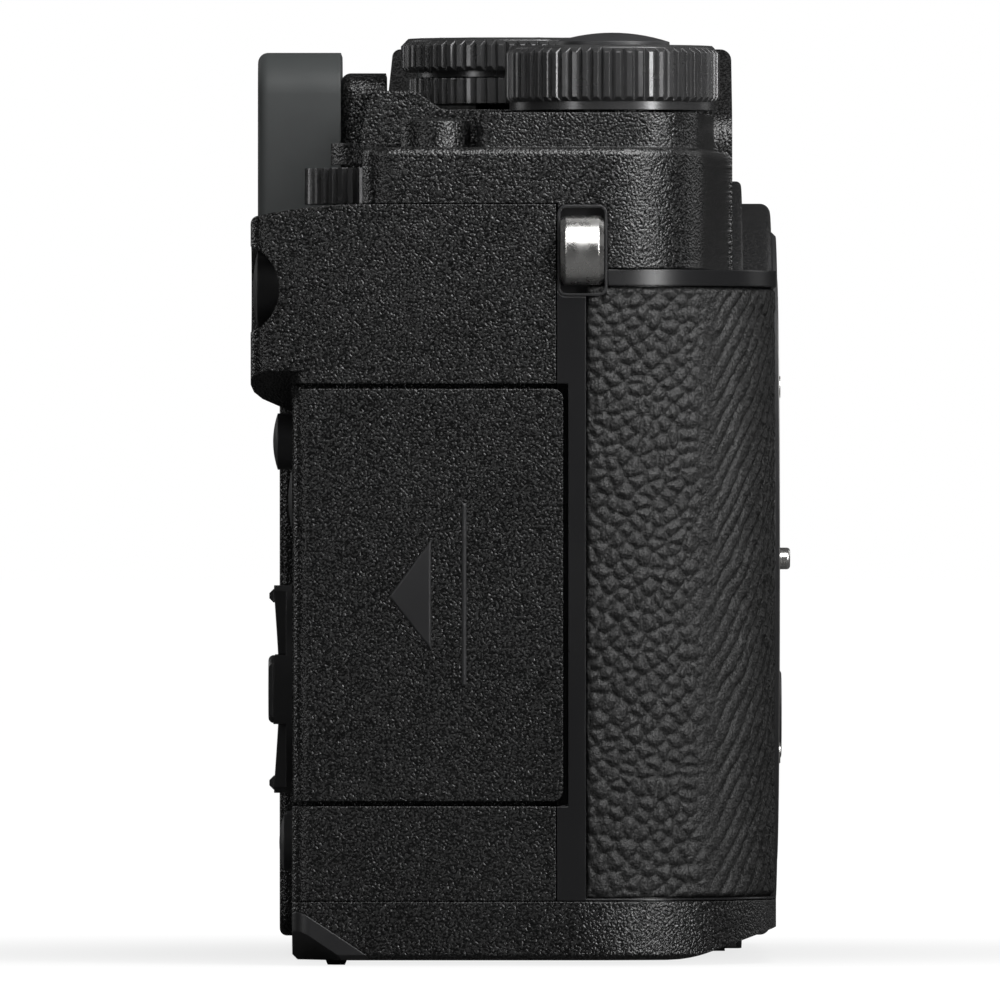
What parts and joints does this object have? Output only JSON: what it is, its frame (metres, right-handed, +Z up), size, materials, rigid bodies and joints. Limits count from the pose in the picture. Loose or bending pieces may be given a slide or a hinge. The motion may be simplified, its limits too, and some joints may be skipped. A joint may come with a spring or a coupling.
{
  "type": "mirrorless camera",
  "caption": "Film-style mirrorless camera body with flat leather front, round lens mount, knurled dials, folding monitor, rubber eyecup and opening doors.",
  "frame": {"origin": "middle of the overall width and depth, on the plane that the base pads stand on", "axes": "+Z up, -Y toward the subject through the lens mount, -X toward the user's right hand"},
  "size_m": [0.1438, 0.0525, 0.0892],
  "materials": {
    "body_paint": "fine crinkle paint",
    "chassis_paint": "satin, with fine crinkle on the mount boss",
    "leather": "pebbled grain",
    "rubber": "soft matte",
    "dial_black": "satin black",
    "button_black": "satin",
    "trim_black": "smooth satin",
    "polished_steel": "polished",
    "mount_steel": "turned",
    "shutter_black": "matte",
    "sensor_coating": "coated filter glass",
    "clear_glass": "clear",
    "screen_glass": "glossy dark screen",
    "contact_block": "black block with gold contacts",
    "circuit_board": "solder mask",
    "battery_shell": "plain shell"
  },
  "bodies": {
    "camera_body": {"front_body": "chassis_paint", "rear_cover": "body_paint", "top_cover": "body_paint", "base_plate": "body_paint", "leather_right": "leather", "leather_left": "leather", "coupler_plug": "trim_black", "finder_housing": "body_paint", "eyepiece_lens": "clear_glass", "eyecup": "rubber", "hot_shoe": "mount_steel", "mount_ring": "trim_black", "mount_flange": "mount_steel", "throat_frame": "trim_black", "contact_block": "contact_block", "focus_lamp": "clear_glass", "shutter_unit": "shutter_black", "sensor_carrier": "shutter_black", "sensor_window": "sensor_coating", "main_board": "circuit_board", "strap_recess_right": "trim_black", "strap_recess_left": "trim_black", "strap_lug_right": "polished_steel", "strap_lug_left": "polished_steel", "hinge_bracket": "mount_steel", "card_unit": "trim_black", "battery_chamber": "trim_black", "battery": "battery_shell", "battery_pin": "polished_steel", "tripod_bush": "polished_steel"},
    "front_dial_body": {"front_dial": "dial_black"},
    "shutter_button_body": {"shutter_button": "button_black"},
    "mode_dial_body": {"mode_dial": "dial_black"},
    "mode_lever_body": {"mode_lever": "dial_black"},
    "thumb_wheel_body": {"thumb_wheel": "dial_black"},
    "power_lever_body": {"power_lever": "dial_black"},
    "dioptre_wheel_body": {"dioptre_wheel": "dial_black"},
    "small_button_body": {"small_button": "body_paint"},
    "record_button_body": {"record_button": "button_black"},
    "drive_button_body": {"drive_button": "button_black"},
    "ael_button_body": {"ael_button": "button_black"},
    "info_button_body": {"info_button": "button_black"},
    "screen_button_body": {"screen_button": "button_black"},
    "play_button_body": {"play_button": "button_black"},
    "delete_button_body": {"delete_button": "button_black"},
    "menu_button_body": {"menu_button": "button_black"},
    "control_pad_body": {"control_pad": "button_black"},
    "ok_button_body": {"ok_button": "button_black"},
    "release_button_body": {"release_button": "button_black"},
    "lock_pin_body": {"lock_pin": "polished_steel"},
    "monitor": {"monitor_panel": "body_paint", "monitor_glass": "screen_glass", "hinge_block": "body_paint"},
    "door_bracket_body": {"door_bracket": "mount_steel"},
    "card_door_body": {"card_door": "body_paint"},
    "battery_door_body": {"battery_door": "trim_black"},
    "battery_latch_body": {"battery_latch": "button_black"},
    "terminal_cover_upper_body": {"terminal_cover_upper": "rubber"},
    "terminal_cover_lower_body": {"terminal_cover_lower": "rubber"}
  },
  "joints": [
    {"name": "front_dial_turn", "type": "hinge", "parent": "camera_body", "child": "front_dial_body", "pos_m": [-0.055, -0.0083, 0.0817], "axis": [0, 0, 1], "continuous": true},
    {"name": "shutter_button_press", "type": "slide", "parent": "camera_body", "child": "shutter_button_body", "axis": [0, 0, -1], "range_m": [0, 0.0008], "stiffness_N_per_m": 300, "springref_m": -0.0005},
    {"name": "mode_dial_turn", "type": "hinge", "parent": "camera_body", "child": "mode_dial_body", "pos_m": [-0.0315, 0.00185, 0.0858], "axis": [0, 0, 1], "continuous": true},
    {"name": "mode_lever_turn", "type": "hinge", "parent": "camera_body", "child": "mode_lever_body", "pos_m": [-0.0315, 0.00185, 0.08265], "axis": [0, 0, 1], "range_deg": [-60, 0]},
    {"name": "thumb_wheel_turn", "type": "hinge", "parent": "camera_body", "child": "thumb_wheel_body", "pos_m": [-0.053, 0.0122, 0.07275], "axis": [0, 0, 1], "continuous": true},
    {"name": "power_lever_turn", "type": "hinge", "parent": "camera_body", "child": "power_lever_body", "pos_m": [0.052, 0, 0.07835], "axis": [0, 0, 1], "range_deg": [0, 45]},
    {"name": "dioptre_wheel_turn", "type": "hinge", "parent": "camera_body", "child": "dioptre_wheel_body", "pos_m": [0.0266, 0.0135, 0.082], "axis": [0, 1, 0], "range_deg": [-150, 150]},
    {"name": "small_button_press", "type": "slide", "parent": "camera_body", "child": "small_button_body", "axis": [0, 0, -1], "range_m": [0, 0.0005], "stiffness_N_per_m": 300, "springref_m": -0.0005},
    {"name": "record_button_press", "type": "slide", "parent": "camera_body", "child": "record_button_body", "axis": [0, 0, -1], "range_m": [0, 0.0005], "stiffness_N_per_m": 300, "springref_m": -0.0005},
    {"name": "drive_button_press", "type": "slide", "parent": "camera_body", "child": "drive_button_body", "axis": [0, 0, -1], "range_m": [0, 0.0005], "stiffness_N_per_m": 300, "springref_m": -0.0005},
    {"name": "ael_button_press", "type": "slide", "parent": "camera_body", "child": "ael_button_body", "axis": [0, -1, 0], "range_m": [0, 0.0005], "stiffness_N_per_m": 300, "springref_m": -0.0005},
    {"name": "info_button_press", "type": "slide", "parent": "camera_body", "child": "info_button_body", "axis": [0, -1, 0], "range_m": [0, 0.0005], "stiffness_N_per_m": 300, "springref_m": -0.0005},
    {"name": "screen_button_press", "type": "slide", "parent": "camera_body", "child": "screen_button_body", "axis": [0, -1, 0], "range_m": [0, 0.0005], "stiffness_N_per_m": 300, "springref_m": -0.0005},
    {"name": "play_button_press", "type": "slide", "parent": "camera_body", "child": "play_button_body", "axis": [0, -1, 0], "range_m": [0, 0.0005], "stiffness_N_per_m": 300, "springref_m": -0.0005},
    {"name": "delete_button_press", "type": "slide", "parent": "camera_body", "child": "delete_button_body", "axis": [0, -1, 0], "range_m": [0, 0.0005], "stiffness_N_per_m": 300, "springref_m": -0.0005},
    {"name": "menu_button_press", "type": "slide", "parent": "camera_body", "child": "menu_button_body", "axis": [0, -1, 0], "range_m": [0, 0.0005], "stiffness_N_per_m": 300, "springref_m": -0.0005},
    {"name": "control_pad_press", "type": "slide", "parent": "camera_body", "child": "control_pad_body", "axis": [0, -1, 0], "range_m": [0, 0.0005], "stiffness_N_per_m": 300, "springref_m": -0.0005},
    {"name": "ok_button_press", "type": "slide", "parent": "camera_body", "child": "ok_button_body", "axis": [0, -1, 0], "range_m": [0, 0.0005], "stiffness_N_per_m": 300, "springref_m": -0.0005},
    {"name": "release_button_press", "type": "slide", "parent": "camera_body", "child": "release_button_body", "axis": [0, 1, 0], "range_m": [0, 0.0015], "stiffness_N_per_m": 300, "springref_m": -0.0005},
    {"name": "lock_pin_retract", "type": "slide", "parent": "camera_body", "child": "lock_pin_body", "axis": [0, 1, 0], "range_m": [0, 0.0016]},
    {"name": "monitor_swing", "type": "hinge", "parent": "camera_body", "child": "monitor", "pos_m": [0.0663, 0.0203, 0.029], "axis": [0, 0, -1], "range_deg": [0, 175]},
    {"name": "card_door_slide", "type": "slide", "parent": "camera_body", "child": "door_bracket_body", "axis": [0, 1, 0], "range_m": [0, 0.003]},
    {"name": "card_door_open", "type": "hinge", "parent": "door_bracket_body", "child": "card_door_body", "pos_m": [-0.06805, 0.02055, 0.03535], "axis": [0, 0, -1], "range_deg": [0, 95]},
    {"name": "battery_door_open", "type": "hinge", "parent": "camera_body", "child": "battery_door_body", "pos_m": [-0.0182, -0.011, 0.00147], "axis": [0, -1, 0], "range_deg": [0, 95]},
    {"name": "battery_latch_slide", "type": "slide", "parent": "battery_door_body", "child": "battery_latch_body", "axis": [-1, 0, 0], "range_m": [0, 0.002]},
    {"name": "terminal_cover_upper_open", "type": "hinge", "parent": "camera_body", "child": "terminal_cover_upper_body", "pos_m": [0.069, 0.01175, 0.0489], "axis": [0, 0, 1], "range_deg": [0, 100]},
    {"name": "terminal_cover_lower_open", "type": "hinge", "parent": "camera_body", "child": "terminal_cover_lower_body", "pos_m": [0.069, 0.01175, 0.0259], "axis": [0, 0, 1], "range_deg": [0, 100]}
  ],
  "couplings": [
    {"joint": "lock_pin_retract", "follows": "release_button_press", "ratio": 1.0667}
  ]
}
